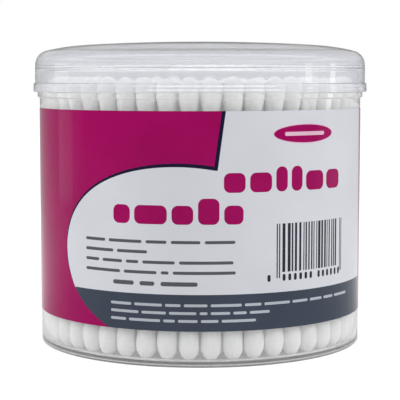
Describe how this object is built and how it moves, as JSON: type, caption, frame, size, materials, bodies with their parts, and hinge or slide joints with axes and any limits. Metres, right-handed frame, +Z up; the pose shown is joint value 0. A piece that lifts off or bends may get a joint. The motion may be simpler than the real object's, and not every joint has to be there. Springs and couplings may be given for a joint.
{
  "type": "cotton swab tub",
  "caption": "Clear round moulded tub full of standing cotton swabs, with a domed push-on lid that lifts off and a film label wrapped round its wall.",
  "frame": {"origin": "centre of the foot ring's resting plane, on the tub's axis", "axes": "+Z up along the tub's axis, -Y towards the front of the label, and the label's seam at +Y"},
  "size_m": [0.0932, 0.0932, 0.0833],
  "materials": {
    "clear_plastic": "clear moulded polystyrene, glossy",
    "label_film": "glossy printed film",
    "cotton": "wound white cotton on a white stick"
  },
  "bodies": {
    "tub": {"tub": "clear_plastic", "label": "label_film", "swab_01": "cotton", "swab_02": "cotton", "swab_03": "cotton", "swab_04": "cotton", "swab_05": "cotton", "swab_06": "cotton", "swab_07": "cotton", "swab_08": "cotton", "swab_09": "cotton", "swab_10": "cotton", "swab_11": "cotton", "swab_12": "cotton", "swab_13": "cotton", "swab_14": "cotton", "swab_15": "cotton", "swab_16": "cotton", "swab_17": "cotton", "swab_18": "cotton", "swab_19": "cotton", "swab_20": "cotton", "swab_21": "cotton", "swab_22": "cotton", "swab_23": "cotton", "swab_24": "cotton", "swab_25": "cotton", "swab_26": "cotton", "swab_27": "cotton", "swab_28": "cotton", "swab_29": "cotton", "swab_30": "cotton", "swab_31": "cotton", "swab_32": "cotton", "swab_33": "cotton", "swab_34": "cotton", "swab_35": "cotton", "swab_36": "cotton", "swab_37": "cotton", "swab_38": "cotton", "swab_39": "cotton", "swab_40": "cotton", "swab_41": "cotton", "swab_42": "cotton", "swab_43": "cotton", "swab_44": "cotton", "swab_45": "cotton", "swab_46": "cotton", "swab_ring_2": "cotton", "swab_ring_3": "cotton", "swab_ring_4": "cotton", "swab_ring_5": "cotton", "swab_ring_6": "cotton", "swab_ring_7": "cotton"},
    "lid": {"lid": "clear_plastic"}
  },
  "joints": [
    {"name": "lid_lift", "type": "slide", "parent": "tub", "child": "lid", "axis": [0, 0, 1], "range_m": [0, 0.04]}
  ]
}
